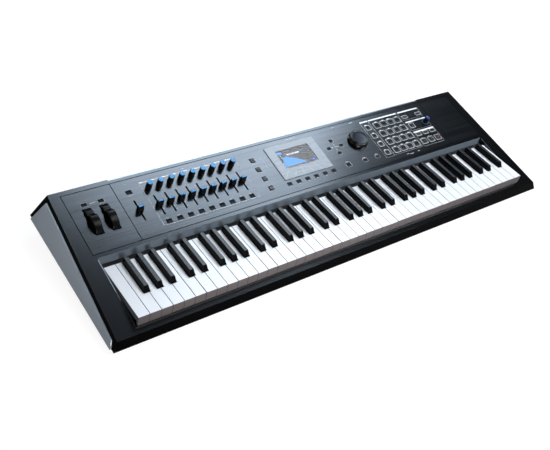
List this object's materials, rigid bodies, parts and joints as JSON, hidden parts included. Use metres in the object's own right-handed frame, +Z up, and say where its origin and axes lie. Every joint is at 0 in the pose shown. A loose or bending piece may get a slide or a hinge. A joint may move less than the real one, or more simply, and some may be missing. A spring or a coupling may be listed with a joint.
{
  "type": "synthesizer",
  "caption": "Stage synthesizer keyboard with sprung full-size keys, bend wheels, knobs, faders, a data dial, push buttons and a display panel on a sloping deck.",
  "frame": {"origin": "middle of the footprint, on the surface the feet stand on", "axes": "+X along the keys towards the treble, +Y towards the rear, +Z up"},
  "size_m": [1.1746, 0.3454, 0.1006],
  "materials": {
    "white_key": "satin",
    "black_key": "satin",
    "wheel_rubber": "satin",
    "knob_rubber": "matte, blue tops",
    "fader_plastic": "matte, blue top lines",
    "dial_plastic": "satin",
    "button_rubber": "satin",
    "switch_plastic": "gloss",
    "case_plastic": "fine texture, satin",
    "pan_metal": "powder coat",
    "side_metal": "satin",
    "panel_metal": "brushed, dark",
    "bezel_plastic": "semi-gloss",
    "window_glass": "clear",
    "lcd_glass": "gloss",
    "rear_metal": "satin",
    "socket_plastic": "satin",
    "chassis_steel": "zinc plated",
    "felt": "felt",
    "board_green": "solder mask",
    "screw_steel": "black oxide",
    "foot_rubber": "matte"
  },
  "bodies": {
    "case": {"upper_case": "case_plastic", "bottom_pan": "pan_metal", "side_plates": "side_metal", "wheel_panel": "panel_metal", "main_panel": "panel_metal", "right_panel": "panel_metal", "display_bezel": "bezel_plastic", "display_window": "window_glass", "lcd_module": "lcd_glass", "rear_panel": "rear_metal", "jack_sockets": "socket_plastic", "round_sockets": "socket_plastic", "computer_socket": "socket_plastic", "switch_housing": "socket_plastic", "key_frame": "chassis_steel", "key_felts": "felt", "wheel_bracket": "chassis_steel", "panel_board": "board_green", "main_board": "board_green", "case_screws": "screw_steel", "feet": "foot_rubber"},
    "keys_c": {"keys_c": "white_key"},
    "keys_d": {"keys_d": "white_key"},
    "keys_e": {"keys_e": "white_key"},
    "keys_f": {"keys_f": "white_key"},
    "keys_g": {"keys_g": "white_key"},
    "keys_a": {"keys_a": "white_key"},
    "keys_b": {"keys_b": "white_key"},
    "keys_c_sharp": {"keys_c_sharp": "black_key"},
    "keys_d_sharp": {"keys_d_sharp": "black_key"},
    "keys_f_sharp": {"keys_f_sharp": "black_key"},
    "keys_g_sharp": {"keys_g_sharp": "black_key"},
    "keys_a_sharp": {"keys_a_sharp": "black_key"},
    "pitch_wheel": {"pitch_wheel": "wheel_rubber"},
    "mod_wheel": {"mod_wheel": "wheel_rubber"},
    "master_fader": {"master_fader": "fader_plastic"},
    "fader_1": {"fader_1": "fader_plastic"},
    "fader_2": {"fader_2": "fader_plastic"},
    "fader_3": {"fader_3": "fader_plastic"},
    "fader_4": {"fader_4": "fader_plastic"},
    "fader_5": {"fader_5": "fader_plastic"},
    "fader_6": {"fader_6": "fader_plastic"},
    "fader_7": {"fader_7": "fader_plastic"},
    "fader_8": {"fader_8": "fader_plastic"},
    "fader_9": {"fader_9": "fader_plastic"},
    "knob_1": {"knob_1": "knob_rubber"},
    "knob_2": {"knob_2": "knob_rubber"},
    "knob_3": {"knob_3": "knob_rubber"},
    "knob_4": {"knob_4": "knob_rubber"},
    "knob_5": {"knob_5": "knob_rubber"},
    "knob_6": {"knob_6": "knob_rubber"},
    "knob_7": {"knob_7": "knob_rubber"},
    "knob_8": {"knob_8": "knob_rubber"},
    "knob_9": {"knob_9": "knob_rubber"},
    "tempo_knob": {"tempo_knob": "knob_rubber"},
    "data_dial": {"data_dial": "dial_plastic"},
    "control_buttons": {"control_buttons": "button_rubber"},
    "screen_buttons": {"screen_buttons": "button_rubber"},
    "keypad_buttons": {"keypad_buttons": "button_rubber"},
    "power_switch": {"power_switch": "switch_plastic"}
  },
  "joints": [
    {"name": "keys_c_press", "type": "hinge", "parent": "case", "child": "keys_c", "pos_m": [0, 0.02538, 0.04], "axis": [1, 0, 0], "range_deg": [0, 3.2], "stiffness_Nm_per_rad": 2.2, "springref_deg": -31.51},
    {"name": "keys_d_press", "type": "hinge", "parent": "case", "child": "keys_d", "pos_m": [0, 0.02538, 0.04], "axis": [1, 0, 0], "range_deg": [0, 3.2], "stiffness_Nm_per_rad": 2.2, "springref_deg": -31.51},
    {"name": "keys_e_press", "type": "hinge", "parent": "case", "child": "keys_e", "pos_m": [0, 0.02538, 0.04], "axis": [1, 0, 0], "range_deg": [0, 3.2], "stiffness_Nm_per_rad": 2.2, "springref_deg": -31.51},
    {"name": "keys_f_press", "type": "hinge", "parent": "case", "child": "keys_f", "pos_m": [0, 0.02538, 0.04], "axis": [1, 0, 0], "range_deg": [0, 3.2], "stiffness_Nm_per_rad": 2.2, "springref_deg": -31.51},
    {"name": "keys_g_press", "type": "hinge", "parent": "case", "child": "keys_g", "pos_m": [0, 0.02538, 0.04], "axis": [1, 0, 0], "range_deg": [0, 3.2], "stiffness_Nm_per_rad": 2.2, "springref_deg": -31.51},
    {"name": "keys_a_press", "type": "hinge", "parent": "case", "child": "keys_a", "pos_m": [0, 0.02538, 0.04], "axis": [1, 0, 0], "range_deg": [0, 3.2], "stiffness_Nm_per_rad": 2.2, "springref_deg": -31.51},
    {"name": "keys_b_press", "type": "hinge", "parent": "case", "child": "keys_b", "pos_m": [0, 0.02538, 0.04], "axis": [1, 0, 0], "range_deg": [0, 3.2], "stiffness_Nm_per_rad": 2.2, "springref_deg": -31.51},
    {"name": "keys_c_sharp_press", "type": "hinge", "parent": "case", "child": "keys_c_sharp", "pos_m": [0, 0.02538, 0.04], "axis": [1, 0, 0], "range_deg": [0, 3], "stiffness_Nm_per_rad": 2.2, "springref_deg": -31.51},
    {"name": "keys_d_sharp_press", "type": "hinge", "parent": "case", "child": "keys_d_sharp", "pos_m": [0, 0.02538, 0.04], "axis": [1, 0, 0], "range_deg": [0, 3], "stiffness_Nm_per_rad": 2.2, "springref_deg": -31.51},
    {"name": "keys_f_sharp_press", "type": "hinge", "parent": "case", "child": "keys_f_sharp", "pos_m": [0, 0.02538, 0.04], "axis": [1, 0, 0], "range_deg": [0, 3], "stiffness_Nm_per_rad": 2.2, "springref_deg": -31.51},
    {"name": "keys_g_sharp_press", "type": "hinge", "parent": "case", "child": "keys_g_sharp", "pos_m": [0, 0.02538, 0.04], "axis": [1, 0, 0], "range_deg": [0, 3], "stiffness_Nm_per_rad": 2.2, "springref_deg": -31.51},
    {"name": "keys_a_sharp_press", "type": "hinge", "parent": "case", "child": "keys_a_sharp", "pos_m": [0, 0.02538, 0.04], "axis": [1, 0, 0], "range_deg": [0, 3], "stiffness_Nm_per_rad": 2.2, "springref_deg": -31.51},
    {"name": "pitch_wheel_turn", "type": "hinge", "parent": "case", "child": "pitch_wheel", "pos_m": [-0.5027, 0.07883, 0.05453], "axis": [1, 0, 0], "range_deg": [-40, 40], "stiffness_Nm_per_rad": 0.12},
    {"name": "mod_wheel_turn", "type": "hinge", "parent": "case", "child": "mod_wheel", "pos_m": [-0.4679, 0.07883, 0.05453], "axis": [1, 0, 0], "range_deg": [-40, 40]},
    {"name": "master_fader_slide", "type": "slide", "parent": "case", "child": "master_fader", "axis": [0, 0.9811, 0.1935], "range_m": [-0.0205, 0.0205]},
    {"name": "fader_1_slide", "type": "slide", "parent": "case", "child": "fader_1", "axis": [0, 0.9811, 0.1935], "range_m": [-0.0205, 0.0205]},
    {"name": "fader_2_slide", "type": "slide", "parent": "case", "child": "fader_2", "axis": [0, 0.9811, 0.1935], "range_m": [-0.0205, 0.0205]},
    {"name": "fader_3_slide", "type": "slide", "parent": "case", "child": "fader_3", "axis": [0, 0.9811, 0.1935], "range_m": [-0.0205, 0.0205]},
    {"name": "fader_4_slide", "type": "slide", "parent": "case", "child": "fader_4", "axis": [0, 0.9811, 0.1935], "range_m": [-0.0205, 0.0205]},
    {"name": "fader_5_slide", "type": "slide", "parent": "case", "child": "fader_5", "axis": [0, 0.9811, 0.1935], "range_m": [-0.0205, 0.0205]},
    {"name": "fader_6_slide", "type": "slide", "parent": "case", "child": "fader_6", "axis": [0, 0.9811, 0.1935], "range_m": [-0.0205, 0.0205]},
    {"name": "fader_7_slide", "type": "slide", "parent": "case", "child": "fader_7", "axis": [0, 0.9811, 0.1935], "range_m": [-0.0205, 0.0205]},
    {"name": "fader_8_slide", "type": "slide", "parent": "case", "child": "fader_8", "axis": [0, 0.9811, 0.1935], "range_m": [-0.0205, 0.0205]},
    {"name": "fader_9_slide", "type": "slide", "parent": "case", "child": "fader_9", "axis": [0, 0.9811, 0.1935], "range_m": [-0.0205, 0.0205]},
    {"name": "knob_1_turn", "type": "hinge", "parent": "case", "child": "knob_1", "pos_m": [-0.3639, 0.11575, 0.08281], "axis": [0, -0.1935, 0.9811], "range_deg": [-150, 150]},
    {"name": "knob_2_turn", "type": "hinge", "parent": "case", "child": "knob_2", "pos_m": [-0.33905, 0.11575, 0.08281], "axis": [0, -0.1935, 0.9811], "range_deg": [-150, 150]},
    {"name": "knob_3_turn", "type": "hinge", "parent": "case", "child": "knob_3", "pos_m": [-0.3142, 0.11575, 0.08281], "axis": [0, -0.1935, 0.9811], "range_deg": [-150, 150]},
    {"name": "knob_4_turn", "type": "hinge", "parent": "case", "child": "knob_4", "pos_m": [-0.28935, 0.11575, 0.08281], "axis": [0, -0.1935, 0.9811], "range_deg": [-150, 150]},
    {"name": "knob_5_turn", "type": "hinge", "parent": "case", "child": "knob_5", "pos_m": [-0.2645, 0.11575, 0.08281], "axis": [0, -0.1935, 0.9811], "range_deg": [-150, 150]},
    {"name": "knob_6_turn", "type": "hinge", "parent": "case", "child": "knob_6", "pos_m": [-0.23965, 0.11575, 0.08281], "axis": [0, -0.1935, 0.9811], "range_deg": [-150, 150]},
    {"name": "knob_7_turn", "type": "hinge", "parent": "case", "child": "knob_7", "pos_m": [-0.2148, 0.11575, 0.08281], "axis": [0, -0.1935, 0.9811], "range_deg": [-150, 150]},
    {"name": "knob_8_turn", "type": "hinge", "parent": "case", "child": "knob_8", "pos_m": [-0.18995, 0.11575, 0.08281], "axis": [0, -0.1935, 0.9811], "range_deg": [-150, 150]},
    {"name": "knob_9_turn", "type": "hinge", "parent": "case", "child": "knob_9", "pos_m": [-0.1651, 0.11575, 0.08281], "axis": [0, -0.1935, 0.9811], "range_deg": [-150, 150]},
    {"name": "tempo_knob_turn", "type": "hinge", "parent": "case", "child": "tempo_knob", "pos_m": [0.4075, 0.0873, 0.0772], "axis": [0, -0.1935, 0.9811], "range_deg": [-150, 150]},
    {"name": "data_dial_turn", "type": "hinge", "parent": "case", "child": "data_dial", "pos_m": [0.178, 0.08779, 0.07729], "axis": [0, -0.1935, 0.9811], "continuous": true},
    {"name": "control_buttons_press", "type": "slide", "parent": "case", "child": "control_buttons", "axis": [0, 0.1935, -0.9811], "range_m": [0, 0.001], "stiffness_N_per_m": 900, "springref_m": -0.003},
    {"name": "screen_buttons_press", "type": "slide", "parent": "case", "child": "screen_buttons", "axis": [0, 0.1935, -0.9811], "range_m": [0, 0.001], "stiffness_N_per_m": 1200, "springref_m": -0.003},
    {"name": "keypad_buttons_press", "type": "slide", "parent": "case", "child": "keypad_buttons", "axis": [0, 0.1935, -0.9811], "range_m": [0, 0.001], "stiffness_N_per_m": 2600, "springref_m": -0.003},
    {"name": "power_switch_rock", "type": "hinge", "parent": "case", "child": "power_switch", "pos_m": [0.3, 0.16167, 0.06321], "axis": [1, 0, 0], "range_deg": [0, 16]}
  ]
}
